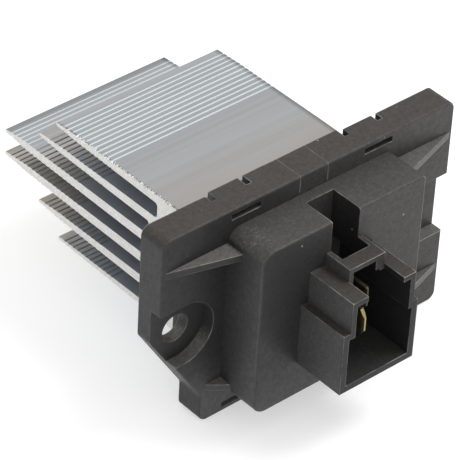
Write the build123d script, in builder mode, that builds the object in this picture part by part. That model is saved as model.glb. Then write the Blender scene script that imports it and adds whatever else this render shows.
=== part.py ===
from build123d import *
import os

# Blower motor resistor: a moulded base with a mounting flange and a plug
# socket, an extruded comb heat sink behind it, and the switching board
# between the two. Millimetres. X runs along the flange, +Y points at the
# fins, +Z is up. The origin lies midway between the two screw holes, at the
# back of the seats that the screw heads clamp.

# Flange
flange_length = 75.5
flange_height = 50.3
flange_depth = 6.5
flange_z = 0.1
flange_plate = 2.2
skirt_wall = 1.5
flange_corner_radius = 1.9
key_corner_width = 11.4
key_corner_rise = 24.4
key_tongue_rise = 6.7
screw_spacing = 62.9
screw_hole_diameter = 6.3
seat_radius = 7.35
seat_depth = 2.9
seat_floor = 2.6
seat_wall = 1.5
land_rise = 0.65

# Latch tabs in the flange's long edges
tab_width = 7.4
tab_spacing = 34.2
tab_slit_width = 1.3
tab_slit_depth = 2.0
tab_window_height = 1.3
tab_window_inset = 1.1
tab_hook_height = 0.7
tab_hook_length = 1.6

# Block on the front of the flange
block_width = 42.3
block_height = 39.9
block_depth = 10.2
block_x = -0.4
block_z = 0.8
block_wall = 2.0
block_left_radius = 3.2
block_right_radius = 1.2
block_edge_radius = 0.45

# Webs between the block and the flange
web_thickness = 1.5
web_reach = 5.4
web_upper_z = 17.8
web_lower_z = -15.55
web_end_margin = 0.7

# Plug socket
socket_x = -1.15
socket_length = 12.3
socket_width = 19.4
socket_wall = 1.5
socket_bottom_z = -10.75
socket_shoulder_z = 3.75
socket_roof_z = 11.0
neck_x = -0.85
neck_width = 16.4
neck_wall = 1.2
latch_x = -0.45
latch_width = 9.3
latch_wall = 1.1
latch_roof_z = 13.8
latch_setback = 5.6
latch_key_width = 1.2
latch_key_length = 3.0
notch_depth = 7.7
window_reach = 3.3
header_wall = 2.0

# Spigot behind the flange
spigot_wall = 2.0
spigot_depth = 8.0
rib_thickness = 1.4
rib_spacing = 30.0

# Heat sink
sink_width = 42.2
sink_x = -0.55
sink_z = 1.65
sink_base = 6.0
fin_pitch = 5.6
fin_first_root = 1.95
fin_inner_root = 2.15
fin_centre_root = 2.4
fin_last_root = 1.5
fin_taper = 0.5
fin_point = 7.0
fin_edge = 0.7
fin_first_length = 31.4
fin_inner_length = 36.7
fin_centre_length = 47.9
fin_last_length = 30.2
slot_step = 2.3
slot_radius = 0.8
tip_radius = 0.3
groove_pitch = 1.355
groove_depth = 0.22
groove_start = 2.2
outer_groove_count = 12
inner_groove_count = 14
centre_groove_count = 17

# Terminals
blade_upper_width = 4.8
blade_lower_width = 6.3
blade_thickness = 0.8
blade_x = -1.75
blade_upper_z = 6.7
blade_lower_z = 0.0
blade_setback = 3.6
blade_point = 1.2
blade_point_rise = 1.6
blade_corner = 0.4
blade_neck_width = 3.4
pin_size = 0.64
pin_spacing = 6.4
pin_z = -7.2
pin_setback = 10.0
pin_point = 0.2

# Circuit board
board_margin = 1.1
board_thickness = 1.6
board_standoff = 3.0
board_corner_radius = 1.0
post_diameter = 3.6
stake_diameter = 1.8
stake_height = 0.8
post_inset = 2.6
solder_tail = 1.2

# Power transistor
case_width = 10.2
case_height = 9.2
case_thickness = 4.4
case_chamfer = 0.4
tab_plate_height = 15.6
tab_plate_thickness = 1.3
tab_hole_diameter = 3.8
tab_hole_inset = 2.9
transistor_gap = 0.6
transistor_top_z = 13.2
lead_width = 0.9
lead_thickness = 0.5
lead_pitch = 2.54
lead_drop = 3.2
lead_bend = 0.9
pad_margin = 1.0
pad_thickness = 0.4

# Screws
screw_diameter = 3.0
screw_thread = 3.2
screw_hole_spare = 0.5
screw_head_diameter = 5.6
screw_head_height = 2.2
screw_head_chamfer = 0.6
drive_width = 2.6
drive_slot = 0.6
drive_depth = 1.2
lug_size = 7.4
lug_thickness = 3.0

# Parts on the board
can_diameter = 8.0
can_height = 9.6
can_x = 10.6
can_z = 5.8
can_edge_chamfer = 0.6
can_bead_depth = 0.3
can_bead_height = 1.2
can_vent_width = 0.3
can_vent_depth = 0.2
can_lead_pitch = 3.5
can_lead = 0.6
shunt_width = 9.0
shunt_height = 2.6
shunt_strip = 0.5
shunt_depth = 2.2
shunt_bend = 1.0
shunt_x = 9.6
shunt_z = -2.1
chip_width = 4.9
chip_height = 3.9
chip_thickness = 1.5
chip_shift = 0.025
chip_z = -7.0
chip_standoff = 0.15
chip_legs = 4
chip_leg_pitch = 1.27
chip_leg_reach = 1.0
chip_leg_width = 0.42
chip_leg_thickness = 0.2
fuse_diameter = 3.2
fuse_length = 5.0
fuse_wire = 0.8
fuse_wire_run = 1.0
fuse_gap = 0.6
fuse_edge = 0.7
fuse_z = -8.0
diode_length = 4.4
diode_height = 2.6
diode_thickness = 2.1
diode_x = -13.0
diode_z = 1.0
diode_end = 1.0
diode_end_width = 1.5
diode_end_thickness = 0.2

# Clearances
fit_gap = 0.1
cavity_gap = 0.5

# Levels that several pieces share
seat_y = flange_depth - seat_depth - seat_floor
front_y = seat_y - flange_depth
block_front_y = front_y - block_depth
socket_front_y = block_front_y - socket_length
latch_front_y = socket_front_y + latch_setback
land_y = seat_y + land_rise
notch_back_y = block_front_y + notch_depth
header_back_y = notch_back_y + header_wall
board_front_y = header_back_y + board_standoff
board_back_y = board_front_y + board_thickness
base_front_y = seat_y + spigot_depth
slot_floor_y = base_front_y + sink_base
half_length = flange_length / 2
half_height = flange_height / 2
latch_side = latch_width / 2 - latch_wall
land_left = -tab_spacing / 2 - tab_width / 2 - tab_slit_width / 2
land_right = tab_spacing / 2 - tab_width / 2 - tab_slit_width / 2
fin_span = 5 * fin_pitch
sink_top = sink_z + fin_span / 2 + fin_first_root / 2
sink_bottom = sink_z - fin_span / 2 - fin_last_root / 2
sink_height = sink_top - sink_bottom
core_z = (sink_top + sink_bottom) / 2
cavity_width = min(sink_width - 2 * spigot_wall, block_width - 2 * block_wall) - cavity_gap
cavity_height = sink_height - 2 * spigot_wall
board_width = cavity_width - 2 * board_margin
board_height = cavity_height - 2 * board_margin
post_spots = [
    (sink_x + sx * (board_width / 2 - post_inset), core_z + sz * (board_height / 2 - post_inset))
    for sx, sz in ((-1, -1), (1, 1))
]
lug_spots = [
    (sink_x + sx * (cavity_width - lug_size) / 2, core_z + sz * (cavity_height - lug_size) / 2)
    for sx, sz in ((-1, 1), (1, -1))
]
transistor_x = lug_spots[0][0] + (lug_size + case_width + pad_margin) / 2 + transistor_gap
blade_spots = [(blade_x, z) for z in (blade_upper_z, blade_lower_z)]
pin_spots = [(blade_x + s * pin_spacing / 2, pin_z) for s in (-1, 1)]
fuse_reach = fuse_length / 2 + fuse_wire_run
fuse_x = sink_x + board_width / 2 - fuse_edge - fuse_reach
fuse_spots = [(fuse_x + s * fuse_reach, fuse_z) for s in (-1, 1)]
chip_x = (pin_spots[1][0] + fuse_spots[0][0]) / 2 + chip_shift


def facing(y):
    """Drawing plane that looks at the back, with X along the flange and Z up."""
    return Plane(origin=(0, y, 0), x_dir=(1, 0, 0), z_dir=(0, -1, 0))


def outline(inset=0.0):
    """Flange outline with the cut key corner, set in by a wall."""
    left = -half_length
    low = flange_z - half_height
    high = flange_z + half_height
    with BuildSketch(mode=Mode.PRIVATE) as shape:
        with BuildLine():
            Polyline(
                (left, high),
                (half_length, high),
                (half_length, low),
                (left + key_corner_width, low),
                (left + key_corner_width, low + key_tongue_rise),
                (left, low + key_corner_rise),
                close=True,
            )
        make_face()
        fillet(shape.vertices(), flange_corner_radius)
        if inset:
            offset(amount=-inset, kind=Kind.ARC, mode=Mode.REPLACE)
    return shape.sketch


def seat_shape(radius):
    """U of a screw seat, open at the flange's ends."""
    with BuildSketch(mode=Mode.PRIVATE) as shape:
        with Locations((-screw_spacing / 2, 0), (screw_spacing / 2, 0)):
            Circle(radius)
        run = half_length - screw_spacing / 2
        for side in (-1, 1):
            with Locations((side * (screw_spacing / 2 + run / 2), 0)):
                Rectangle(run, 2 * radius)
    return shape.sketch


def socket_section(wall_side, wall_neck, wall_latch):
    """Stepped section of the plug socket, each stage set in by its wall."""
    with BuildSketch(mode=Mode.PRIVATE) as shape:
        low = socket_bottom_z + wall_side
        high = socket_shoulder_z - wall_side
        with Locations((socket_x, (low + high) / 2)):
            Rectangle(socket_width - 2 * wall_side, high - low)
        high = socket_roof_z - wall_neck
        with Locations((neck_x, (low + high) / 2)):
            Rectangle(neck_width - 2 * wall_neck, high - low)
        high = latch_roof_z - wall_latch
        with Locations((latch_x, (low + high) / 2)):
            Rectangle(latch_width - 2 * wall_latch, high - low)
    return shape.sketch


# Base: flange, block, socket and spigot in one moulding
with BuildPart() as base_housing:
    # flange plate with its skirt
    with BuildSketch(facing(seat_y)):
        add(outline())
    extrude(amount=flange_depth)
    fillet(base_housing.faces().sort_by(Axis.Y)[0].edges(), block_edge_radius)
    with BuildSketch(facing(seat_y)):
        add(outline(skirt_wall))
    extrude(amount=flange_depth - flange_plate, mode=Mode.SUBTRACT)

    # pockets of the screw seats
    with BuildSketch(facing(front_y + seat_depth + seat_floor)):
        add(outline())
        add(seat_shape(seat_radius + seat_wall), mode=Mode.INTERSECT)
    extrude(amount=seat_floor + seat_depth - flange_plate)
    with BuildSketch(facing(front_y + seat_depth)):
        add(seat_shape(seat_radius))
    extrude(amount=seat_depth, mode=Mode.SUBTRACT)

    # spigot that carries the heat sink
    with BuildSketch(facing(base_front_y)):
        with Locations((sink_x, core_z)):
            Rectangle(sink_width, sink_height)
    extrude(amount=spigot_depth + flange_depth - flange_plate)

    # ribs that tie the spigot to the skirt
    with BuildSketch(facing(seat_y - rib_thickness)):
        with Locations([(sink_x + s * rib_spacing / 2, flange_z) for s in (-1, 1)]):
            Rectangle(rib_thickness, flange_height - 2 * skirt_wall + fit_gap)
    extrude(amount=flange_depth - flange_plate - rib_thickness)

    # block on the front, with one softer side
    with BuildSketch(facing(front_y)) as block_face:
        with Locations((block_x, block_z)):
            Rectangle(block_width, block_height)
        left_pair = block_face.vertices().group_by(Axis.X)[0]
        fillet(left_pair, block_left_radius)
        right_pair = block_face.vertices().group_by(Axis.X)[-1]
        fillet(right_pair, block_right_radius)
    extrude(amount=block_depth)
    fillet(base_housing.faces().sort_by(Axis.Y)[0].edges(), block_edge_radius)

    # webs that brace the block on both sides
    reach_left = block_x - block_width / 2 + block_left_radius
    reach_right = block_x + block_width / 2 - block_right_radius
    for top, start, inner in (
        (web_upper_z, -half_length + web_end_margin, reach_left),
        (web_upper_z, half_length - web_end_margin, reach_right),
        (web_lower_z, -half_length + key_corner_width + web_end_margin, reach_left),
        (web_lower_z, half_length - web_end_margin, reach_right),
    ):
        with BuildSketch(Plane.XY.offset(top - web_thickness)):
            with BuildLine():
                Polyline(
                    (start, front_y + flange_plate / 2),
                    (start, front_y),
                    (inner, front_y - web_reach),
                    (inner, front_y + flange_plate / 2),
                    close=True,
                )
            make_face()
        extrude(amount=web_thickness)

    # socket walls, with the latch roof set back from the mouth
    with BuildSketch(facing(block_front_y)):
        add(socket_section(0, 0, 0))
    extrude(amount=socket_length)
    neck_ceiling = socket_roof_z - neck_wall
    with BuildSketch(facing(latch_front_y)):
        with Locations((latch_x, (neck_ceiling + latch_roof_z) / 2)):
            Rectangle(latch_width, latch_roof_z - neck_ceiling + fit_gap)
    extrude(amount=latch_setback, mode=Mode.SUBTRACT)
    with BuildSketch(facing(notch_back_y)):
        add(socket_section(socket_wall, neck_wall, latch_wall))
    extrude(amount=notch_back_y - socket_front_y, mode=Mode.SUBTRACT)

    # notch above the latch, open into the socket
    with BuildSketch(Plane.XY.offset(latch_roof_z - latch_wall)):
        with Locations((latch_x, (notch_back_y + block_front_y) / 2)):
            Rectangle(2 * latch_side, notch_depth)
    extrude(amount=block_height, mode=Mode.SUBTRACT)
    with BuildSketch(Plane.XY.offset(latch_roof_z - latch_wall)):
        with Locations((latch_x, block_front_y - window_reach / 2)):
            Rectangle(2 * latch_side, window_reach)
    extrude(amount=2 * latch_wall, mode=Mode.SUBTRACT)

    # key rib under the latch roof, on its right wall
    key_left = latch_x + latch_side - latch_key_width
    key_right = latch_x + latch_side + latch_wall / 2
    with BuildSketch(facing(latch_front_y + latch_key_length)):
        with Locations(((key_left + key_right) / 2, (neck_ceiling + latch_roof_z) / 2)):
            Rectangle(key_right - key_left, latch_roof_z - neck_ceiling - latch_wall)
    extrude(amount=latch_key_length)

    # room for the board, cored from the back
    with BuildSketch(facing(base_front_y)):
        with Locations((sink_x, core_z)):
            Rectangle(cavity_width, cavity_height)
    extrude(amount=base_front_y - header_back_y, mode=Mode.SUBTRACT)

    # lighter front corners beside the socket
    low_side = socket_x - socket_width / 2 - socket_wall
    high_side = socket_x + socket_width / 2 + socket_wall
    left_end = sink_x - cavity_width / 2 + socket_wall
    right_end = block_x + block_width / 2 - block_wall
    for inner, outer in ((low_side, left_end), (high_side, right_end)):
        with BuildSketch(facing(header_back_y)):
            with Locations(((inner + outer) / 2, core_z)):
                Rectangle(abs(outer - inner), cavity_height)
        extrude(amount=header_back_y - block_front_y - block_wall, mode=Mode.SUBTRACT)

    # lugs in two corners for the heat sink screws
    with BuildSketch(facing(base_front_y)):
        with Locations(lug_spots):
            Rectangle(lug_size + fit_gap, lug_size + fit_gap)
    extrude(amount=lug_thickness)
    with Locations([Plane(origin=(x, base_front_y, z), z_dir=(0, 1, 0)) for x, z in lug_spots]):
        Hole(screw_diameter / 2 + fit_gap, 2 * lug_thickness)

    # posts and stakes that hold the board
    with BuildSketch(facing(board_front_y)):
        with Locations(post_spots):
            Circle(post_diameter / 2)
    extrude(amount=board_front_y - block_front_y - block_wall / 2)
    with BuildSketch(facing(board_back_y + stake_height)):
        with Locations(post_spots):
            Circle(stake_diameter / 2)
    extrude(amount=board_back_y + stake_height - board_front_y + fit_gap)

    # slots for the blades and the pins
    with BuildSketch(facing(header_back_y)):
        with Locations(blade_spots):
            Rectangle(blade_thickness + 2 * fit_gap, blade_neck_width + 2 * fit_gap)
        with Locations(pin_spots):
            Rectangle(pin_size + 2 * fit_gap, pin_size + 2 * fit_gap)
    extrude(amount=header_wall, mode=Mode.SUBTRACT)

    # screw holes through the flange
    with Locations([
        Plane(origin=(s * screw_spacing / 2, seat_y, 0), z_dir=(0, 1, 0)) for s in (-1, 1)
    ]):
        Hole(screw_hole_diameter / 2, 2 * flange_depth)

    # seating lands on the rims of the long edges
    with BuildSketch(facing(land_y)):
        for side in (-1, 1):
            with Locations((
                (land_left + land_right) / 2,
                flange_z + side * (half_height - skirt_wall / 2),
            )):
                Rectangle(land_right - land_left, skirt_wall)
    extrude(amount=land_rise)

    # latch tabs: a slit each side, a window in front and a hook behind
    for x in (-tab_spacing / 2, tab_spacing / 2):
        for side in (-1, 1):
            edge = flange_z + side * half_height
            slit_x = tab_width / 2 + tab_slit_width / 2
            with BuildSketch(facing(land_y)):
                with Locations((x - slit_x, edge), (x + slit_x, edge)):
                    Rectangle(tab_slit_width, 2 * skirt_wall)
            extrude(amount=land_rise + tab_slit_depth, mode=Mode.SUBTRACT)
            window_z = edge - side * (tab_window_inset + tab_window_height / 2)
            with BuildSketch(facing(front_y + flange_plate)):
                with Locations((x, window_z)):
                    Rectangle(tab_width, tab_window_height)
            extrude(amount=flange_plate, mode=Mode.SUBTRACT)
            inner = edge - side * skirt_wall
            with BuildSketch(Plane.YZ.offset(x - tab_width / 2)):
                with BuildLine():
                    Polyline(
                        (seat_y, inner + side * skirt_wall / 2),
                        (seat_y, inner),
                        (seat_y - tab_hook_length, inner - side * tab_hook_height),
                        (seat_y - tab_hook_length, inner + side * skirt_wall / 2),
                        close=True,
                    )
                make_face()
            extrude(amount=tab_width)
base_housing.part.label = "base_housing"


# Heat sink: one extrusion, drawn as its end view
fins = (
    (fin_first_length, fin_first_root, outer_groove_count),
    (fin_inner_length, fin_inner_root, inner_groove_count),
    (fin_centre_length, fin_centre_root, centre_groove_count),
    (fin_centre_length, fin_centre_root, centre_groove_count),
    (fin_inner_length, fin_inner_root, inner_groove_count),
    (fin_last_length, fin_last_root, outer_groove_count),
)
fin_levels = [sink_z + fin_span / 2 - i * fin_pitch for i in range(len(fins))]


def fin_half(length, root, back):
    """Half the thickness of a fin at a distance behind its tip."""
    if back < fin_point:
        edge = fin_edge
        return (edge + (root - fin_taper - edge) * back / fin_point) / 2
    return (root - fin_taper * (length - back) / (length - fin_point)) / 2


groove_spots = []
for level, (length, root, count) in zip(fin_levels, fins):
    for back in [groove_start + i * groove_pitch for i in range(count)]:
        half = fin_half(length, root, back)
        groove_spots.append((slot_floor_y + length - back, level + half))
        groove_spots.append((slot_floor_y + length - back, level - half))

with BuildPart() as heat_sink:
    with BuildSketch(Plane.YZ.offset(sink_x - sink_width / 2)) as profile:
        with Locations(((base_front_y + slot_floor_y) / 2, core_z)):
            Rectangle(sink_base, sink_height)
        with Locations((slot_floor_y, sink_z)):
            Rectangle(2 * slot_step, 3 * fin_pitch)
        for level, (length, root, count) in zip(fin_levels, fins):
            stations = [
                (slot_floor_y + length - back, fin_half(length, root, back))
                for back in (0, fin_point, length)
            ]
            stations.append((slot_floor_y - sink_base / 2, root / 2))
            with BuildLine():
                Polyline(
                    *[(y, level + half) for y, half in stations],
                    *[(y, level - half) for y, half in reversed(stations)],
                    close=True,
                )
            make_face()
        inner_corners = [
            v for v in profile.vertices()
            if slot_floor_y - fit_gap < v.X < slot_floor_y + slot_step + fit_gap
            and sink_bottom + fin_last_root / 2 < v.Y < sink_top - fin_first_root / 2
        ]
        fillet(inner_corners, slot_radius)
        tips = [
            v for v in profile.vertices()
            if any(abs(v.X - slot_floor_y - length) < fit_gap for length, _, _ in fins)
        ]
        fillet(tips, tip_radius)
        with Locations(groove_spots):
            Rectangle(groove_depth * 2**0.5, groove_depth * 2**0.5, rotation=45, mode=Mode.SUBTRACT)
    extrude(amount=sink_width)
    tapped = lug_spots + [(transistor_x, transistor_top_z - tab_hole_inset)]
    with Locations([Plane(origin=(x, base_front_y, z), z_dir=(0, -1, 0)) for x, z in tapped]):
        Hole(screw_diameter / 2 + fit_gap / 2, screw_thread + screw_hole_spare)
heat_sink.part.label = "heat_sink"


def screw(length):
    """Pan head screw that stands on its seat, with its shank below the origin."""
    with BuildPart(mode=Mode.PRIVATE) as piece:
        Cylinder(
            screw_head_diameter / 2,
            screw_head_height,
            align=(Align.CENTER, Align.CENTER, Align.MIN),
        )
        chamfer(piece.edges().sort_by(Axis.Z)[-1], screw_head_chamfer)
        top = piece.faces().sort_by(Axis.Z)[-1]
        with BuildSketch(top):
            Rectangle(drive_width, drive_slot)
            Rectangle(drive_slot, drive_width)
        extrude(amount=-drive_depth, mode=Mode.SUBTRACT)
        Cylinder(
            screw_diameter / 2,
            length,
            align=(Align.CENTER, Align.CENTER, Align.MAX),
        )
        chamfer(piece.edges().sort_by(Axis.Z)[0], screw_diameter / 8)
    return piece.part


# Screws that hold the heat sink, driven from inside the spigot
with BuildPart() as heat_sink_screws:
    with Locations([
        Plane(origin=(x, base_front_y - lug_thickness, z), z_dir=(0, -1, 0)) for x, z in lug_spots
    ]):
        add(screw(lug_thickness + screw_thread))
heat_sink_screws.part.label = "heat_sink_screws"

# Power transistor on its pad, flat against the heat sink
pad_front_y = base_front_y - pad_thickness
tab_front_y = pad_front_y - tab_plate_thickness
case_front_y = pad_front_y - case_thickness
case_bottom_z = transistor_top_z - tab_plate_height
tab_centre = (transistor_x, transistor_top_z - tab_plate_height / 2)
tab_hole = (transistor_x, transistor_top_z - tab_hole_inset)
lead_y = (case_front_y + tab_front_y) / 2
lead_z = case_bottom_z - lead_drop
lead_spots = [(transistor_x + i * lead_pitch, lead_z) for i in (-1, 0, 1)]

with BuildPart() as thermal_pad:
    with BuildSketch(facing(base_front_y)):
        with Locations(tab_centre):
            Rectangle(case_width + pad_margin, tab_plate_height + pad_margin)
        with Locations(tab_hole):
            Circle(tab_hole_diameter / 2, mode=Mode.SUBTRACT)
    extrude(amount=pad_thickness)
thermal_pad.part.label = "thermal_pad"

with BuildPart() as transistor_tab:
    with BuildSketch(facing(pad_front_y)) as tab_face:
        with Locations(tab_centre):
            Rectangle(case_width, tab_plate_height)
        chamfer(tab_face.vertices().group_by(Axis.Y)[-1], tab_plate_thickness / 2)
        with Locations(tab_hole):
            Circle(tab_hole_diameter / 2, mode=Mode.SUBTRACT)
    extrude(amount=tab_plate_thickness)
transistor_tab.part.label = "transistor_tab"

with BuildPart() as transistor_case:
    with BuildSketch(facing(tab_front_y)):
        with Locations((transistor_x, case_bottom_z + case_height / 2)):
            Rectangle(case_width, case_height)
    extrude(amount=case_thickness - tab_plate_thickness)
    chamfer(transistor_case.faces().sort_by(Axis.Y)[0].edges(), case_chamfer)
transistor_case.part.label = "transistor_case"

with BuildPart() as transistor_leads:
    for x, z in lead_spots:
        with BuildSketch(Plane.YZ.offset(x - lead_width / 2)):
            with BuildLine():
                FilletPolyline(
                    (lead_y, case_bottom_z),
                    (lead_y, z),
                    (board_front_y - solder_tail, z),
                    radius=lead_bend,
                )
            trace(line_width=lead_thickness)
        extrude(amount=lead_width)
transistor_leads.part.label = "transistor_leads"

with BuildPart() as transistor_screw:
    with Locations(Plane(origin=(tab_hole[0], tab_front_y, tab_hole[1]), z_dir=(0, -1, 0))):
        add(screw(tab_plate_thickness + pad_thickness + screw_thread))
transistor_screw.part.label = "transistor_screw"


# Circuit board with a hole for each thing that passes through it
can_spots = [(can_x + s * can_lead_pitch / 2, can_z) for s in (-1, 1)]
shunt_spots = [(shunt_x + s * (shunt_width - shunt_strip) / 2, shunt_z) for s in (-1, 1)]

with BuildPart() as circuit_board:
    with BuildSketch(facing(board_back_y)):
        with Locations((sink_x, core_z)):
            RectangleRounded(board_width, board_height, board_corner_radius)
        for spots, wide, high in (
            (blade_spots, blade_thickness, blade_neck_width),
            (pin_spots, pin_size, pin_size),
            (lead_spots, lead_width, lead_thickness),
            (shunt_spots, shunt_strip, shunt_height),
        ):
            with Locations(spots):
                Rectangle(wide + 2 * fit_gap, high + 2 * fit_gap, mode=Mode.SUBTRACT)
        for spots, diameter in (
            (post_spots, stake_diameter),
            (can_spots, can_lead),
            (fuse_spots, fuse_wire),
        ):
            with Locations(spots):
                Circle(diameter / 2 + fit_gap, mode=Mode.SUBTRACT)
    extrude(amount=board_thickness)
circuit_board.part.label = "circuit_board"


def blade(z, width, rise):
    """Plug blade that shoulders on the header wall and ends behind the board."""
    tip_y = socket_front_y + blade_setback
    half = width / 2
    neck = blade_neck_width / 2
    with BuildPart(mode=Mode.PRIVATE) as piece:
        with BuildSketch(Plane.YZ.offset(blade_x - blade_thickness / 2)):
            with Locations(((tip_y + notch_back_y) / 2, z)):
                Rectangle(notch_back_y - tip_y, 2 * half)
            with Locations(((notch_back_y + board_back_y + solder_tail) / 2, z)):
                Rectangle(board_back_y + solder_tail - notch_back_y, 2 * neck)
        extrude(amount=blade_thickness)
        point = piece.faces().sort_by(Axis.Y)[0]
        chamfer(point.edges().filter_by(Axis.X), rise, min(rise, blade_point), reference=point)
        point = piece.faces().sort_by(Axis.Y)[0]
        chamfer(point.edges().filter_by(Axis.Z), blade_thickness / 4, blade_point / 2, reference=point)
    return piece.part


# Plug blades and signal pins
with BuildPart() as blade_upper:
    add(blade(blade_upper_z, blade_upper_width, blade_corner))
blade_upper.part.label = "blade_upper"

with BuildPart() as blade_lower:
    add(blade(blade_lower_z, blade_lower_width, blade_point_rise))
blade_lower.part.label = "blade_lower"


def signal_pin(x, z):
    """Square pin with a pyramid point, through the header wall and the board."""
    tip_y = socket_front_y + pin_setback
    with BuildPart(mode=Mode.PRIVATE) as piece:
        with BuildSketch(facing(board_back_y + solder_tail)):
            with Locations((x, z)):
                Rectangle(pin_size, pin_size)
        extrude(amount=board_back_y + solder_tail - tip_y)
        chamfer(piece.faces().sort_by(Axis.Y)[0].edges(), pin_point)
    return piece.part


with BuildPart() as signal_pin_left:
    add(signal_pin(*pin_spots[0]))
signal_pin_left.part.label = "signal_pin_left"

with BuildPart() as signal_pin_right:
    add(signal_pin(*pin_spots[1]))
signal_pin_right.part.label = "signal_pin_right"

# Capacitor: a beaded can with a scored vent, standing on the board
with BuildPart() as capacitor:
    with BuildSketch(Plane.XY):
        with BuildLine():
            Polyline(
                (0, 0),
                (can_diameter / 2, 0),
                (can_diameter / 2, can_bead_height - can_bead_depth),
                (can_diameter / 2 - can_bead_depth, can_bead_height),
                (can_diameter / 2, can_bead_height + can_bead_depth),
                (can_diameter / 2, can_height),
                (0, can_height),
                close=True,
            )
        make_face()
    revolve(axis=Axis.Y)
    chamfer(capacitor.edges().group_by(Axis.Y)[-1], can_edge_chamfer)
    with BuildSketch(Plane.XZ.offset(-can_height)):
        Rectangle(can_diameter / 2, can_vent_width)
        Rectangle(can_vent_width, can_diameter / 2)
    extrude(amount=can_vent_depth, mode=Mode.SUBTRACT)
    with BuildSketch(Plane.XZ):
        with Locations((-can_lead_pitch / 2, 0), (can_lead_pitch / 2, 0)):
            Circle(can_lead / 2)
    extrude(amount=board_thickness + solder_tail)
capacitor.part.position = (can_x, board_back_y, can_z)
capacitor.part.label = "capacitor"

# Shunt: a bent strip that bridges over the board
with BuildPart() as shunt_resistor:
    with BuildSketch(Plane.XY.offset(shunt_z - shunt_height / 2)):
        with BuildLine():
            FilletPolyline(
                (shunt_spots[0][0], board_front_y - solder_tail),
                (shunt_spots[0][0], board_back_y + shunt_depth),
                (shunt_spots[1][0], board_back_y + shunt_depth),
                (shunt_spots[1][0], board_front_y - solder_tail),
                radius=shunt_bend,
            )
        trace(line_width=shunt_strip)
    extrude(amount=shunt_height)
shunt_resistor.part.label = "shunt_resistor"

# Control chip with gull-wing legs
with BuildPart() as control_chip:
    with BuildSketch(facing(board_back_y + chip_standoff + chip_thickness)):
        with Locations((chip_x, chip_z)):
            Rectangle(chip_width, chip_height)
    extrude(amount=chip_thickness)
    chamfer(control_chip.faces().sort_by(Axis.Y)[-1].edges(), chip_standoff)
    leg_y = board_back_y + chip_standoff + chip_thickness / 2
    foot_y = board_back_y + chip_leg_thickness / 2
    for i in range(chip_legs):
        leg_x = chip_x + (i - (chip_legs - 1) / 2) * chip_leg_pitch
        for side in (-1, 1):
            edge = chip_z + side * chip_height / 2
            with BuildSketch(Plane.YZ.offset(leg_x - chip_leg_width / 2)):
                with BuildLine():
                    Polyline(
                        (leg_y, edge - side * chip_leg_thickness),
                        (leg_y, edge + side * chip_leg_reach / 3),
                        (foot_y, edge + side * chip_leg_reach / 2),
                        (foot_y, edge + side * chip_leg_reach),
                    )
                trace(line_width=chip_leg_thickness)
            extrude(amount=chip_leg_width)
control_chip.part.label = "control_chip"

# Thermal fuse with bent wires
with BuildPart() as thermal_fuse:
    fuse_y = board_back_y + fuse_gap + fuse_diameter / 2
    with BuildSketch(Plane.YZ.offset(fuse_x - fuse_length / 2)):
        with Locations((fuse_y, fuse_z)):
            Circle(fuse_diameter / 2)
    extrude(amount=fuse_length)
    chamfer(thermal_fuse.edges(), fuse_wire / 2)
    with BuildLine():
        wire = Polyline(
            (fuse_spots[0][0], board_front_y - solder_tail, fuse_z),
            (fuse_spots[0][0], fuse_y, fuse_z),
            (fuse_spots[1][0], fuse_y, fuse_z),
            (fuse_spots[1][0], board_front_y - solder_tail, fuse_z),
        )
    with BuildSketch(Plane(origin=wire @ 0, z_dir=wire % 0)):
        Circle(fuse_wire / 2)
    sweep(transition=Transition.RIGHT)
thermal_fuse.part.label = "thermal_fuse"

# Suppressor diode, flat on the board
with BuildPart() as suppressor_diode:
    with BuildSketch(facing(board_back_y + diode_thickness)):
        with Locations((diode_x, diode_z)):
            Rectangle(diode_length, diode_height)
    extrude(amount=diode_thickness)
    chamfer(suppressor_diode.faces().sort_by(Axis.Y)[-1].edges(), diode_end_thickness)
    with BuildSketch(Plane.XZ.offset(-board_back_y)):
        with Locations((diode_x, diode_z)):
            Rectangle(diode_length + diode_end, diode_end_width)
    extrude(amount=-diode_end_thickness)
suppressor_diode.part.label = "suppressor_diode"


os.makedirs("parts", exist_ok=True)
export_step(base_housing.part, "parts/base_housing.step")
export_step(heat_sink.part, "parts/heat_sink.step")
export_step(heat_sink_screws.part, "parts/heat_sink_screws.step")
export_step(thermal_pad.part, "parts/thermal_pad.step")
export_step(transistor_tab.part, "parts/transistor_tab.step")
export_step(transistor_case.part, "parts/transistor_case.step")
export_step(transistor_leads.part, "parts/transistor_leads.step")
export_step(transistor_screw.part, "parts/transistor_screw.step")
export_step(circuit_board.part, "parts/circuit_board.step")
export_step(blade_upper.part, "parts/blade_upper.step")
export_step(blade_lower.part, "parts/blade_lower.step")
export_step(signal_pin_left.part, "parts/signal_pin_left.step")
export_step(signal_pin_right.part, "parts/signal_pin_right.step")
export_step(capacitor.part, "parts/capacitor.step")
export_step(shunt_resistor.part, "parts/shunt_resistor.step")
export_step(control_chip.part, "parts/control_chip.step")
export_step(thermal_fuse.part, "parts/thermal_fuse.step")
export_step(suppressor_diode.part, "parts/suppressor_diode.step")
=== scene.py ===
import random

import bmesh
import bpy
from mathutils import Matrix, Vector


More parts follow.
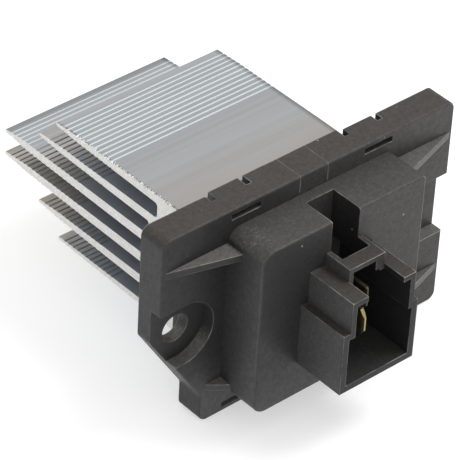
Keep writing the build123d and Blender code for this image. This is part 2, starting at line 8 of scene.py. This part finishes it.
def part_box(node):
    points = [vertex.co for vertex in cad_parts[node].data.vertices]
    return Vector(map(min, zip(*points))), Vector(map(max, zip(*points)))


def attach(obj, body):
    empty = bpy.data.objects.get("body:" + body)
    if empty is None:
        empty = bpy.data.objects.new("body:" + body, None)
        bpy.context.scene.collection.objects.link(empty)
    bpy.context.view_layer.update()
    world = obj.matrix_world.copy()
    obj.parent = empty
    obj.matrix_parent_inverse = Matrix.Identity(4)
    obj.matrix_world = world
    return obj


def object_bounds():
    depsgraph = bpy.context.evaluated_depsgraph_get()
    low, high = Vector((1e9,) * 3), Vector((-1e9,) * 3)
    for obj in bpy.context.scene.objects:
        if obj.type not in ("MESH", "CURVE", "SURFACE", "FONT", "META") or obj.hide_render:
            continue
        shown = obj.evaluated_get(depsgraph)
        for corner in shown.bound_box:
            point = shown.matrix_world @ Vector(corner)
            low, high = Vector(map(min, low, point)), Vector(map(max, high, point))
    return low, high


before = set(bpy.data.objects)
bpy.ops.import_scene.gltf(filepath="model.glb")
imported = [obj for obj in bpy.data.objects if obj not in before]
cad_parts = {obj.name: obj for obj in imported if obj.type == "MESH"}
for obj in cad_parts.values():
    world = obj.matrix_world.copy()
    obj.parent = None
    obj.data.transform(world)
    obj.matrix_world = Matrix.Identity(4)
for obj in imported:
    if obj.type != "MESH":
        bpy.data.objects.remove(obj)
cadLow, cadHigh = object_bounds()
mm = 0.001
# stretch of a noise that is the same along all three axes
even = (1.0, 1.0, 1.0)
bevelSamples = 4
edgeSamples = 8
print("frame loaded:", len(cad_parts), "nodes")


def colour(parts, times=1.0):
    # red, green and blue as a colour socket takes them
    return tuple(part * times for part in parts) + (1.0,)


def grey(level):
    return (level, level, level, 1.0)


class Wire:
    # one output of a node, which takes Python's arithmetic
    def __init__(self, shade, socket):
        self.shade = shade
        self.socket = socket

    def other(self, output):
        # another output of the same node
        return Wire(self.shade, self.socket.node.outputs[output])

    def maths(self, operation, first, second=0.0):
        return self.shade.add("ShaderNodeMath", {"operation": operation}, {0: first, 1: second})

    def __add__(self, value):
        return self.maths("ADD", self, value)

    __radd__ = __add__

    def __sub__(self, value):
        return self.maths("SUBTRACT", self, value)

    def __rsub__(self, value):
        return self.maths("SUBTRACT", value, self)

    def __mul__(self, value):
        return self.maths("MULTIPLY", self, value)

    __rmul__ = __mul__

    def __neg__(self):
        return 0.0 - self

    def __abs__(self):
        return self.maths("ABSOLUTE", self)

    def between(self, low, high):
        # 0 below low, 1 above high, smooth on the way
        return self.shade.add(
            "ShaderNodeMapRange",
            {"interpolation_type": "SMOOTHSTEP"},
            {"Value": self, "From Min": low, "From Max": high, "To Min": 0.0, "To Max": 1.0},
        )

    def below(self, low, high):
        # 1 below low, 0 above high
        return 1.0 - self.between(low, high)

    def near(self, middle, reach, fade):
        # 1 within reach of middle, fading out
        return abs(self - middle).below(reach, reach + fade)

    def patchy(self, least, gain):
        # least where it is 0, and gain more where it is 1
        return self * gain + least


class Shade:
    # one material, its nodes made by add()
    def __init__(self, name, **fixed):
        self.material = bpy.data.materials.new(name)
        self.material.use_nodes = True
        self.tree = self.material.node_tree
        self.surface = self.tree.nodes["Principled BSDF"]
        for key, value in fixed.items():
            self.feed(self.surface, key.replace("_", " "), value)
        self.place = self.add("ShaderNodeTexCoord", {}, {}, "Object")
        self.facing = self.add("ShaderNodeNewGeometry", {}, {}, "True Normal")

    def feed(self, node, key, value):
        socket = node.inputs[key]
        if isinstance(value, Wire):
            self.tree.links.new(value.socket, socket)
        else:
            socket.default_value = value

    def add(self, kind, settings, values, output=0):
        # a node: its type, its settings, its sockets' values or links
        node = self.tree.nodes.new(kind)
        for key, value in settings.items():
            setattr(node, key, value)
        for key, value in values.items():
            self.feed(node, key, value)
        return Wire(self, node.outputs[output])

    def split(self, vector):
        x = self.add("ShaderNodeSeparateXYZ", {}, {"Vector": vector}, "X")
        return x, x.other("Y"), x.other("Z")

    def blend(self, mask, first, second, how="MIX"):
        return self.add(
            "ShaderNodeMix",
            {"data_type": "RGBA", "blend_type": how},
            {0: mask, 6: first, 7: second},
            2,
        )

    def paint(self, mask, under, parts):
        # a colour laid over what is there
        return self.blend(mask, under, colour(parts))

    def tint(self, mask, under, parts):
        # what is there, multiplied by a colour
        return self.blend(mask, under, colour(parts), "MULTIPLY")

    def noise(self, scale, stretch, detail, shift):
        spot = self.add(
            "ShaderNodeMapping",
            {},
            {"Vector": self.place, "Scale": stretch, "Location": (shift, shift, shift)},
        )
        values = {"Vector": spot, "Scale": scale, "Detail": detail}
        return self.add("ShaderNodeTexNoise", {}, values)

    def soft(self, radius):
        # the normal rounded over the edges
        return self.add("ShaderNodeBevel", {"samples": bevelSamples}, {"Radius": radius})

    def edge(self, radius, low, high, outer=True):
        # 1 on outer edges, or in inner corners, and 0 on flats
        free = self.add(
            "ShaderNodeAmbientOcclusion",
            {"samples": edgeSamples, "inside": outer, "only_local": True},
            {"Distance": radius},
            "AO",
        )
        return (1.0 - free).between(low, high)

    def rounded(self, radius, low, high):
        # the normal turns over outer edges only
        corner = self.edge(radius, low, high, outer=False)
        return self.add(
            "ShaderNodeMix",
            {"data_type": "VECTOR"},
            {0: corner, 4: self.soft(radius), 5: self.facing},
            1,
        )

    def bump(self, height, strength, distance, under=None):
        values = {"Height": height, "Strength": strength, "Distance": distance}
        if under is not None:
            values["Normal"] = under
        return self.add("ShaderNodeBump", {}, values)

    def finish(self, **links):
        for key, value in links.items():
            self.feed(self.surface, key.replace("_", " "), value)
        return self.material


def span(start, reach):
    # both ends of a stretch that is counted from start
    return start + reach[0], start + reach[1]


# glass filled plastic of the moulded base
plasticLook = {
    "shine": 0.3,
    "roughness": 0.44,
    # colours
    "body": (0.0190, 0.0192, 0.0203),
    # film on what faces up: mould dust and painted light from above, paler on the ledge and in
    # the nook
    "filmAndTopLight": (0.0350, 0.0315, 0.0262),
    "ledgeFilmAndLight": (0.0450, 0.0430, 0.0395),
    "nookFilmAndLight": (0.0950, 0.0925, 0.0860),
    # painted light on the socket's outer left side
    "sidePaintedLight": (0.0385, 0.0388, 0.0396),
    # the front's painted shade high up, and its painted light low down and to the right
    "frontLightAndShade": (0.0130, 0.0131, 0.0139),
    "lowFrontLight": (0.0560, 0.0560, 0.0580),
    "rightFrontLight": (0.0395, 0.0357, 0.0337),
    "dust": (0.10, 0.097, 0.088),
    # the pale of wear, and of painted highlights on corners
    "rubAndHighlight": (0.29, 0.285, 0.27),
    "speck": (0.42, 0.41, 0.39),
    # tints, which multiply a colour
    # painted shade inside the socket
    "innerShadeTint": (0.45, 0.45, 0.46),
    "lipTint": (0.3, 0.3, 0.31),
    "mottleTint": (0.82, 0.82, 0.83),
    "grainTint": (1.38, 1.37, 1.34),
    # noises: scale, stretch, detail, shift
    "cloud": (70.0, even, 5.0, 0.0),
    "flow": (24.0, (1.0, 1.0, 5.0), 4.0, 3.1),
    "mottle": (1000.0, even, 4.0, 1.7),
    "grain": (2300.0, even, 3.0, 0.0),
    "wear": (260.0, even, 6.0, 7.0),
    # stretch of each noise that counts
    "dustCloud": (0.52, 0.78),
    "dustMottle": (0.3, 0.7),
    "mottleRange": (0.36, 0.66),
    "grainRange": (0.42, 0.66),
    "scuffGrain": (0.54, 0.68),
    "wearRange": (0.42, 0.62),
    # how far a face is turned, from none to full
    "facesUp": (0.25, 0.85),
    "facesOut": (0.5, 0.95),
    "turnsRight": (0.12, 0.4),
    "turnsFront": (0.3, 0.6),
    "edgeFacesDown": (-0.4, -0.1),
    "edgeFacesUp": (0.1, 0.5),
    # where a region fades in or out, along one axis
    "liningTop": (-7 * mm, -6 * mm),
    "liningBack": (-13 * mm, -12 * mm),
    "ledgeTop": (21.3 * mm, 22.3 * mm),
    "ledgeFront": (-17 * mm, -16 * mm),
    "nookTop": (18.8 * mm, 19.8 * mm),
    "nookFront": (-15.6 * mm, -15.0 * mm),
    "frontLightRise": (-24 * mm, -6 * mm),
    "frontLightRight": (-22 * mm, 16 * mm),
    "frontLightFront": (-27.6 * mm, -27.2 * mm),
    "flankBack": (-17.5 * mm, -6 * mm),
    "innerLeft": (-1 * mm, 0.0),
    "lipBack": (-27.9 * mm, -27.6 * mm),
    # patches: the least, and the gain where the noise is full
    "filmPatches": (0.6, 0.8),
    "frontLightPatches": (0.45, 0.7),
    "dustPatches": (0.25, 0.6),
    "rubPatches": (0.3, 0.8),
    "linePatches": (0.35, 0.65),
    # how much of the film and its painted light the socket lining loses, as painted shade
    "liningShade": 0.8,
    # shares of the colour mixed in
    "dustShare": 0.4,
    # painted highlight on corners that turn to the right
    "rightHighlightShare": 0.22,
    "scuffShare": 0.2,
    "lineShare": 0.42,
    "speckShare": 0.5,
    # rubbed corners and their painted highlight: facing down, gain facing sideways, gain facing
    # up
    "edgeShares": (0.06, 0.3, 0.64),
    # edges: how far they reach, and how closed in a spot is, from none to full
    "cornerRadius": 0.3 * mm,
    "cornerRange": (0.05, 0.3),
    "edgeReach": 0.35 * mm,
    "edgeRange": (0.12, 0.62),
    # scuff on the block's upper left corner: place, radii
    "scuff": (-18.3 * mm, -10.0 * mm, 20.8 * mm),
    "scuffReach": (1 * mm, 3.8 * mm),
    # witness lines of the mould inserts, their X in mm
    "mouldLines": (-3.45, 3.75),
    "mouldLineWidth": 0.05 * mm,
    "mouldLineFade": 0.07 * mm,
    "mouldLineLow": 21.2 * mm,
    "mouldLineEnd": 0.2 * mm,
    "rimFront": 5.7 * mm,
    "rimFade": 0.05 * mm,
    # dust specks: cells per metre, which of them have one, its core and its rim
    "speckCells": 260.0,
    "speckPick": (0.74, 0.76),
    "speckCore": 0.03,
    "speckRim": (0.045, 0.05),
    # what roughens and lifts the surface
    "roughMottle": 0.3,
    "roughGrain": 0.08,
    "roughFilm": 0.05,
    "roughEdge": 0.1,
    "liftGrain": 0.8,
    "liftMottle": 0.5,
    "liftLine": 1.5,
    "liftSpeck": 2.0,
    "bump": 0.6,
    "bumpDepth": 0.03 * mm,
}


def makePlastic(look):
    shade = Shade("mouldedPlastic", IOR=1.5, Specular_IOR_Level=look["shine"])
    nx, ny, nz = shade.split(shade.facing)
    px, py, pz = shade.split(shade.place)
    cloud = shade.noise(*look["cloud"])
    flow = shade.noise(*look["flow"])
    mottle = shade.noise(*look["mottle"])
    grain = shade.noise(*look["grain"])
    edge = shade.edge(look["edgeReach"], *look["edgeRange"])
    toFront = -ny
    # what faces up gets a pale film of mould dust and painted light from above, paler still on
    # the ledge and in the nook, and painted shade inside the socket takes most of it away
    lining = pz.below(*look["liningTop"]) * py.below(*look["liningBack"])
    filmAndTopLight = nz.between(*look["facesUp"]) * flow.patchy(*look["filmPatches"])
    filmAndTopLight = filmAndTopLight * (1.0 - lining * look["liningShade"])
    ledge = pz.below(*look["ledgeTop"]) * py.between(*look["ledgeFront"])
    dustAndTopLight = shade.blend(ledge, colour(look["filmAndTopLight"]), colour(look["ledgeFilmAndLight"]))
    nook = pz.below(*look["nookTop"]) * py.between(*look["nookFront"])
    dustAndTopLight = shade.paint(nook, dustAndTopLight, look["nookFilmAndLight"])
    # and painted light and shade on the front: darker high up, painted light low down and to
    # the right
    rise = pz.between(*look["frontLightRise"])
    frontLightAndShade = shade.blend(rise, colour(look["lowFrontLight"]), colour(look["frontLightAndShade"]))
    frontLightAndShade = shade.paint(px.between(*look["frontLightRight"]), frontLightAndShade, look["rightFrontLight"])
    front = toFront.between(*look["facesOut"]) * py.between(*look["frontLightFront"])
    front = front * flow.patchy(*look["frontLightPatches"])
    body = shade.blend(front, colour(look["body"]), frontLightAndShade)
    # painted light on the socket's outer left side, and painted shade inside it
    flank = (-nx).between(*look["facesOut"]) * py.below(*look["flankBack"])
    inner = px.between(*look["innerLeft"])
    outer = flank * (1.0 - inner) * flow.patchy(*look["filmPatches"])
    body = shade.paint(outer, body, look["sidePaintedLight"])
    body = shade.tint(flank * inner, body, look["innerShadeTint"])
    body = shade.blend(filmAndTopLight, body, dustAndTopLight)
    # and its front lip is darker
    lip = py.below(*look["lipBack"])
    body = shade.tint(lip, body, look["lipTint"])
    # dust, mottle and grain
    dusty = cloud.between(*look["dustCloud"]) * mottle.between(*look["dustMottle"])
    dusty = dusty * filmAndTopLight.patchy(*look["dustPatches"])
    body = shade.paint(dusty * look["dustShare"], body, look["dust"])
    mottled = mottle.between(*look["mottleRange"])
    body = shade.tint(mottled, body, look["mottleTint"])
    grained = grain.between(*look["grainRange"])
    body = shade.tint(grained, body, look["grainTint"])
    # corners rubbed pale here and there, with a painted highlight, most of all where they face
    # up
    worn = shade.noise(*look["wear"]).between(*look["wearRange"])
    _, _, lift = shade.split(shade.soft(look["cornerRadius"]))
    least, sideways, upward = look["edgeShares"]
    reach = lift.between(*look["edgeFacesDown"]) * sideways + least
    reach = reach + lift.between(*look["edgeFacesUp"]) * upward
    rubbedAndLit = edge * worn.patchy(*look["rubPatches"]) * reach
    body = shade.paint(rubbedAndLit, body, look["rubAndHighlight"])
    # painted highlight on round corners that turn to the right
    turn = nx.between(*look["turnsRight"]) * toFront.between(*look["turnsFront"])
    body = shade.paint(turn * look["rightHighlightShare"], body, look["rubAndHighlight"])
    # the scuff on the block
    across, along, up = [wire - at for wire, at in zip((px, py, pz), look["scuff"])]
    far = across * across + along * along + up * up
    scuff = far.below(*[radius**2 for radius in look["scuffReach"]])
    scuff = scuff * grain.between(*look["scuffGrain"])
    body = shade.paint(scuff * look["scuffShare"], body, look["rubAndHighlight"])
    # the witness lines, across the upper rim
    line = 0.0
    for x in look["mouldLines"]:
        line = line + px.near(x * mm, look["mouldLineWidth"], look["mouldLineFade"])
    line = line * pz.between(*span(look["mouldLineLow"], (0.0, look["mouldLineEnd"])))
    line = line * (py + look["rimFront"]).between(0.0, look["rimFade"])
    line = line * worn.patchy(*look["linePatches"])
    body = shade.paint(line * look["lineShare"], body, look["rubAndHighlight"])
    # the dust specks
    cell = shade.add(
        "ShaderNodeTexVoronoi",
        {},
        {"Vector": shade.place, "Scale": look["speckCells"]},
        "Distance",
    )
    pick, size, _ = shade.split(cell.other("Color"))
    speck = cell.below(look["speckCore"], size.patchy(*look["speckRim"]))
    speck = speck * pick.between(*look["speckPick"])
    body = shade.paint(speck * look["speckShare"], body, look["speck"])
    # roughness and relief
    rough = look["roughness"] + (mottle - 0.5) * look["roughMottle"]
    rough = rough + grain * look["roughGrain"] + filmAndTopLight * look["roughFilm"]
    rough = rough - edge * look["roughEdge"]
    height = grain * look["liftGrain"] + mottle * look["liftMottle"]
    height = height - line * look["liftLine"] + speck * look["liftSpeck"]
    rounded = shade.rounded(look["cornerRadius"], *look["cornerRange"])
    return shade.finish(
        Base_Color=body,
        Roughness=rough,
        Normal=shade.bump(height, look["bump"], look["bumpDepth"], rounded),
    )


# mill finish aluminium of the heat sink
metalLook = {
    # colours
    "skin": (0.42, 0.43, 0.44),
    # painted copy of the metal for the inner fins in the shade of those above, and for their
    # tips
    "shaded": (0.53, 0.56, 0.605),
    "tips": (0.60, 0.575, 0.53),
    # painted lit colour of the second fin's open tip
    "secondTip": (0.36, 0.355, 0.35),
    # painted highlight on the groove walls
    "grooveHighlight": (0.50, 0.575, 0.595),
    "sawn": (0.66, 0.655, 0.635),
    # painted highlight on the sawn ends' edges
    "sawnEdgeHighlight": (0.9, 0.9, 0.88),
    "warm": (0.40, 0.375, 0.345),
    # tints, which multiply a colour
    "lineTint": (0.78, 0.78, 0.8),
    "bandTint": (0.86, 0.86, 0.85),
    "stainTint": (0.8, 0.79, 0.77),
    "farTipTint": (0.42, 0.42, 0.42),
    # painted shade along the right edge, and painted shadows of the burrs
    "rightEdgeShadeTint": (0.45, 0.45, 0.45),
    "burrShadowTint": (0.35, 0.35, 0.36),
    # noises: scale, stretch, detail, shift
    "hair": (1.0, (10.0, 5200.0, 5200.0), 3.0, 0.0),
    "line": (1.0, (7.0, 1100.0, 1100.0), 3.0, 2.0),
    "band": (1.0, (5.0, 230.0, 230.0), 3.0, 4.0),
    "stain": (130.0, (0.35, 1.0, 1.0), 5.0, 5.0),
    "fleck": (900.0, (0.5, 1.0, 1.0), 4.0, 6.0),
    "burrShadowSpots": (1.0, (200.0, 2400.0, 200.0), 2.0, 8.0),
    "saw": (1.0, (900.0, 2600.0, 2200.0), 5.0, 9.0),
    # stretch of each noise that counts
    "lineRange": (0.35, 0.7),
    "bandRange": (0.4, 0.62),
    "stainRange": (0.5, 0.8),
    "fleckRange": (0.5, 0.7),
    "burrShadowRange": (0.44, 0.54),
    "sawRange": (0.3, 0.7),
    # how far a face is turned, from none to full
    "facesEnd": (0.8, 0.95),
    "slopeStart": (0.6, 0.62),
    "slopeEnd": (0.78, 0.8),
    "facesFront": (0.5, 0.6),
    "facesUp": (0.1, 0.2),
    # where a region fades in or out, along Z, first counted from the top
    "topFoot": (-1.7 * mm, -1.3 * mm),
    "centreFoot": (3 * mm, 3.5 * mm),
    "centreTop": (7 * mm, 7.5 * mm),
    # along Y, counted from the front
    "tipFade": (20 * mm, 44 * mm),
    "warmBaseEnd": (1 * mm, 14 * mm),
    "ridgeStart": (18 * mm, 20 * mm),
    "burrShadowEnd": (34 * mm, 42 * mm),
    "secondStart": (36 * mm, 38 * mm),
    # along Y, counted from the far end
    "openTips": (-14 * mm, -10 * mm),
    "farTipReach": (-3 * mm, -0.5 * mm),
    # along X, counted from the right and the left end
    "rightRim": (-1.5 * mm, -0.3 * mm),
    "leftRim": (0.4 * mm, 0.65 * mm),
    # shares of the colour mixed in
    "lineShare": 0.35,
    "bandShare": 0.4,
    "warmBasePatches": (0.35, 0.7),
    "stainShare": 0.3,
    "ridgePatches": (0.5, 0.9),
    "secondShare": 0.8,
    "farTipShare": 0.5,
    "rightEdgeShadeShare": 0.7,
    "burrShadowShare": 0.7,
    "burrShadowLess": 0.7,
    "sawnShades": (0.86, 1.02),
    "fleckShare": 0.2,
    "fleckTimes": 1.35,
    "sawnEdgeHighlightShare": 0.6,
    "edgeReach": 0.2 * mm,
    "edgeRange": (0.3, 0.8),
    # roughness, metal and relief
    "roughness": 0.30,
    "shadedRoughness": 0.5,
    "sawnRoughness": 0.55,
    "roughHair": 0.2,
    "roughStain": 0.16,
    "ridgeDull": 0.85,
    "liftLine": 0.8,
    "liftSaw": 3.0,
    "bump": 0.3,
    "bumpDepth": 0.02 * mm,
}


def makeAluminium(look):
    shade = Shade("millAluminium")
    low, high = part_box("heat_sink")
    nx, ny, nz = shade.split(shade.facing)
    px, py, pz = shade.split(shade.place)
    ends = abs(nx).between(*look["facesEnd"])
    # drawing lines run along X, from hair fine to broad bands
    hair = shade.noise(*look["hair"])
    line = shade.noise(*look["line"])
    band = shade.noise(*look["band"])
    stain = shade.noise(*look["stain"])
    fleck = shade.noise(*look["fleck"])
    top = pz.between(*span(high.z, look["topFoot"]))
    # inner fins, under the ones above, get a painted copy of the metal for their light and
    # shade: bluish and darker near the root, brownish and paler towards the tips
    tips = py.between(*span(low.y, look["tipFade"]))
    inner = shade.blend(tips, colour(look["shaded"]), colour(look["tips"]))
    # what the fins above leave open to the sky
    centre = pz.between(*look["centreFoot"]) * pz.below(*look["centreTop"])
    bare = top + centre * py.between(*span(high.y, look["openTips"]))
    skin = shade.paint(bare, inner, look["skin"])
    lines = line.between(*look["lineRange"]) * look["lineShare"]
    skin = shade.tint(lines, skin, look["lineTint"])
    bands = band.between(*look["bandRange"]) * look["bandShare"]
    skin = shade.tint(bands, skin, look["bandTint"])
    # warmer towards the base
    near = py.below(*span(low.y, look["warmBaseEnd"])) * top
    warmBase = near * stain.patchy(*look["warmBasePatches"])
    skin = shade.paint(warmBase, skin, look["warm"])
    stains = stain.between(*look["stainRange"]) * look["stainShare"]
    skin = shade.tint(stains, skin, look["stainTint"])
    # painted highlight, less metallic, on the walls of the grooves that face the base
    slope = abs(nz).between(*look["slopeStart"]) * abs(nz).below(*look["slopeEnd"])
    grooveHighlight = slope * (-ny).between(*look["facesFront"])
    grooveHighlight = grooveHighlight * nz.between(*look["facesUp"]) * bare
    grooveHighlight = grooveHighlight * py.between(*span(low.y, look["ridgeStart"]))
    grooveHighlight = grooveHighlight * line.patchy(*look["ridgePatches"])
    skin = shade.paint(grooveHighlight, skin, look["grooveHighlight"])
    # the tip of the second fin stands open too, and gets a painted lit colour of its own
    second = py.between(*span(low.y, look["secondStart"])) * (1.0 - top)
    second = second * pz.between(*look["centreTop"])
    skin = shade.paint(second * look["secondShare"], skin, look["secondTip"])
    # the far tips are darker
    farTipDark = py.between(*span(high.y, look["farTipReach"]))
    skin = shade.tint(farTipDark * look["farTipShare"], skin, look["farTipTint"])
    # painted shade along the right edge, and painted shadows of the saw burrs along the left
    # one
    rightEdgeShade = px.between(*span(high.x, look["rightRim"]))
    skin = shade.tint(rightEdgeShade * look["rightEdgeShadeShare"], skin, look["rightEdgeShadeTint"])
    burrShadow = px.below(*span(low.x, look["leftRim"])) * top
    burrShadow = burrShadow * shade.noise(*look["burrShadowSpots"]).between(*look["burrShadowRange"])
    burrShadow = burrShadow * (1.0 - py.between(*span(low.y, look["burrShadowEnd"])) * look["burrShadowLess"])
    skin = shade.tint(burrShadow * look["burrShadowShare"], skin, look["burrShadowTint"])
    # the sawn ends
    saw = shade.noise(*look["saw"])
    dark, pale = [colour(look["sawn"], times) for times in look["sawnShades"]]
    cut = shade.blend(saw.between(*look["sawRange"]), dark, pale)
    flecks = fleck.between(*look["fleckRange"]) * look["fleckShare"]
    cut = shade.blend(flecks, cut, colour(look["sawn"], look["fleckTimes"]))
    body = shade.blend(ends, skin, cut)
    # a painted highlight along the edges of the sawn ends
    sawnEdgeHighlight = shade.edge(look["edgeReach"], *look["edgeRange"]) * ends * look["sawnEdgeHighlightShare"]
    body = shade.paint(sawnEdgeHighlight, body, look["sawnEdgeHighlight"])
    # roughness and relief
    rough = look["roughness"] * bare + look["shadedRoughness"] * (1.0 - bare)
    rough = rough + (hair - 0.5) * look["roughHair"] + (stain - 0.5) * look["roughStain"]
    rough = rough * (1.0 - ends) + ends * look["sawnRoughness"]
    height = (hair + line * look["liftLine"]) * (1.0 - ends) + saw * ends * look["liftSaw"]
    return shade.finish(
        Base_Color=body,
        Metallic=1.0 - grooveHighlight * look["ridgeDull"],
        Roughness=rough,
        Normal=shade.bump(height, look["bump"], look["bumpDepth"]),
    )


# small parts: a colour that varies a little, fine grain, a painted highlight on the edges
plainLook = {
    "cloud": (200.0, even, 4.0, 0.0),
    "fine": (2600.0, even, 2.0, 0.0),
    "spread": 0.12,
    "edgeReach": 0.1 * mm,
    "edgeRange": (0.3, 0.8),
    "edgeShare": 0.3,
    "edgeTimes": 1.35,
    "roughCloud": 0.15,
    "roughFine": 0.12,
    "bump": 0.2,
    "bumpDepth": 0.01 * mm,
    "cornerRadius": 0.08 * mm,
}


def makePlain(look, name, parts, roughness, metallic):
    shade = Shade(name, Metallic=metallic)
    cloud = shade.noise(*look["cloud"])
    fine = shade.noise(*look["fine"])
    dark, pale = colour(parts, 1 - look["spread"]), colour(parts, 1 + look["spread"])
    body = shade.blend(cloud, dark, pale)
    # a painted highlight on the edges
    edge = shade.edge(look["edgeReach"], *look["edgeRange"]) * look["edgeShare"]
    body = shade.blend(edge, body, colour(parts, look["edgeTimes"]))
    rough = roughness + (cloud - 0.5) * look["roughCloud"] + (fine - 0.5) * look["roughFine"]
    soft = shade.soft(look["cornerRadius"])
    return shade.finish(
        Base_Color=body,
        Roughness=rough,
        Normal=shade.bump(fine, look["bump"], look["bumpDepth"], soft),
    )


# colour, roughness, metallic
smallFinishes = {
    "brass": ((0.36, 0.31, 0.15), 0.36, 1.0),
    # brass painted dark for the shade the upper blade stands in
    "brassInPaintedShade": ((0.075, 0.072, 0.045), 0.5, 1.0),
    "tin": ((0.62, 0.62, 0.60), 0.35, 1.0),
    "solderMask": ((0.02, 0.13, 0.05), 0.4, 0.0),
    "epoxy": ((0.02, 0.02, 0.02), 0.5, 0.0),
    "silicone": ((0.30, 0.33, 0.37), 0.7, 0.0),
    "zinc": ((0.60, 0.60, 0.60), 0.35, 1.0),
    "bright": ((0.78, 0.78, 0.77), 0.35, 1.0),
    "alloy": ((0.42, 0.36, 0.30), 0.4, 1.0),
}
plastic = makePlastic(plasticLook)
aluminium = makeAluminium(metalLook)
finishes = {name: makePlain(plainLook, name, *look) for name, look in smallFinishes.items()}
print("materials made:", 2 + len(finishes))

nodeFinishes = {
    "base_housing": plastic,
    "heat_sink": aluminium,
    "capacitor": aluminium,
    "heat_sink_screws": finishes["zinc"],
    "transistor_screw": finishes["zinc"],
    "thermal_pad": finishes["silicone"],
    "transistor_tab": finishes["tin"],
    "transistor_leads": finishes["tin"],
    "signal_pin_left": finishes["tin"],
    "signal_pin_right": finishes["tin"],
    "thermal_fuse": finishes["tin"],
    "transistor_case": finishes["epoxy"],
    "control_chip": finishes["epoxy"],
    "suppressor_diode": finishes["epoxy"],
    "circuit_board": finishes["solderMask"],
    # the upper blade in painted shade
    "blade_upper": finishes["brassInPaintedShade"],
    "blade_lower": finishes["brass"],
    "shunt_resistor": finishes["alloy"],
}
for node, finish in nodeFinishes.items():
    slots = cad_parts[node].data.materials
    slots.clear()
    slots.append(finish)
print("CAD nodes dressed:", len(nodeFinishes))


# burrs that the saw left along the upper fin's left edge
burrLook = {
    "seed": 11,
    "count": 130,
    "reach": 0.30 * mm,
    "size": (0.16 * mm, 0.36 * mm),
    # a flake's radii and length, times its size
    "foot": 0.55,
    "tip": 0.1,
    "length": 1.6,
    "sides": 4,
    # in radians
    "lean": (0.5, 1.2),
    "turn": (0, 3),
    "start": 11.0 * mm,
    "end": 40.0 * mm,
    # above 1 crowds them towards the flange
    "crowding": 1.5,
    # the fin's upper face falls from its root on
    "root": 15.0 * mm,
    "fall": 0.0102,
}


def makeBurrs(look):
    random.seed(look["seed"])
    low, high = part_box("heat_sink")
    heap = bmesh.new()
    for _ in range(look["count"]):
        size = random.uniform(*look["size"])
        flake = bmesh.ops.create_cone(
            heap,
            cap_ends=True,
            segments=look["sides"],
            radius1=size * look["foot"],
            radius2=size * look["tip"],
            depth=size * look["length"],
        )["verts"]
        lean = Matrix.Rotation(random.uniform(*look["lean"]), 3, "Y")
        turn = Matrix.Rotation(random.uniform(*look["turn"]), 3, "Z")
        bmesh.ops.rotate(heap, verts=flake, matrix=lean @ turn, cent=(0, 0, 0))
        share = random.random() ** look["crowding"]
        along = look["start"] + (look["end"] - look["start"]) * share
        drop = look["fall"] * max(0.0, along - look["root"])
        spot = (low.x + random.uniform(0, look["reach"]), along, high.z - drop)
        bmesh.ops.translate(heap, verts=flake, vec=spot)
    mesh = bpy.data.meshes.new("saw_burrs")
    heap.to_mesh(mesh)
    heap.free()
    mesh.materials.append(finishes["bright"])
    piece = bpy.data.objects.new("saw_burrs", mesh)
    bpy.context.scene.collection.objects.link(piece)
    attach(piece, "root")


makeBurrs(burrLook)
print("burrs made:", burrLook["count"])


# pale floor that glows like a light table
stageLook = {
    "size": 3.0,
    "level": 0.6,
    "dip": 0.99,
    "cloud": (6.0, even, 2.0, 0.0),
    "roughness": 0.8,
    "shine": 0.2,
    "glow": 0.45,
}


def makeStage(look):
    sheet = bmesh.new()
    bmesh.ops.create_grid(sheet, x_segments=1, y_segments=1, size=look["size"])
    bmesh.ops.translate(sheet, verts=sheet.verts, vec=(0, 0, cadLow.z))
    mesh = bpy.data.meshes.new("floor")
    sheet.to_mesh(mesh)
    sheet.free()
    floor = bpy.data.objects.new("floor", mesh)
    bpy.context.scene.collection.objects.link(floor)
    shade = Shade(
        "paleFloor",
        Roughness=look["roughness"],
        Specular_IOR_Level=look["shine"],
        Emission_Color=grey(1.0),
        Emission_Strength=look["glow"],
    )
    cloud = shade.noise(*look["cloud"])
    tone = shade.blend(cloud, grey(look["level"] * look["dip"]), grey(look["level"]))
    mesh.materials.append(shade.finish(Base_Color=tone))


makeStage(stageLook)
print("floor laid")


# even sky, a soft box above the right and a weaker one at the left
lightLook = {
    "sky": 0.97,
    "boxes": [
        # name, place, target, size, watts
        ("keyBox", (0.45, -0.22, 0.8), (0, 0.01, 0), 0.4, 4.6),
        ("fillBox", (-0.5, -0.65, 0.3), (0, -0.01, 0), 0.6, 1.3),
    ],
}


def lightUp(look):
    world = bpy.data.worlds.new("studio")
    world.use_nodes = True
    backdrop = world.node_tree.nodes["Background"]
    backdrop.inputs["Color"].default_value = grey(1.0)
    backdrop.inputs["Strength"].default_value = look["sky"]
    bpy.context.scene.world = world
    for name, place, target, size, watts in look["boxes"]:
        data = bpy.data.lights.new(name, "AREA")
        data.size = size
        data.energy = watts
        lamp = bpy.data.objects.new(name, data)
        bpy.context.scene.collection.objects.link(lamp)
        lamp.location = place
        lamp.rotation_mode = "QUATERNION"
        lamp.rotation_quaternion = (Vector(target) - Vector(place)).to_track_quat("-Z", "Y")


lightUp(lightLook)
print("lights placed:", len(lightLook["boxes"]))


# camera, solved from the photograph's straight edges
cameraLook = {
    "place": (-0.35929, -0.36845, 0.40748),
    "right": (0.75474566, -0.6544214, 0.0457342),
    "up": (0.37596864, 0.48862805, 0.78733107),
    "lens": 259.98,
    "sensor": 36.0,
    "clip": (0.01, 20.0),
}


def setCamera(look):
    data = bpy.data.cameras.new("camera")
    data.sensor_width = look["sensor"]
    data.lens = look["lens"]
    data.clip_start, data.clip_end = look["clip"]
    camera = bpy.data.objects.new("camera", data)
    bpy.context.scene.collection.objects.link(camera)
    right, up = Vector(look["right"]), Vector(look["up"])
    turn = Matrix((right, up, right.cross(up))).transposed()
    camera.matrix_world = Matrix.Translation(look["place"]) @ turn.to_4x4()
    bpy.context.scene.camera = camera


setCamera(cameraLook)
bpy.context.scene.view_settings.view_transform = "Standard"
print("camera set")
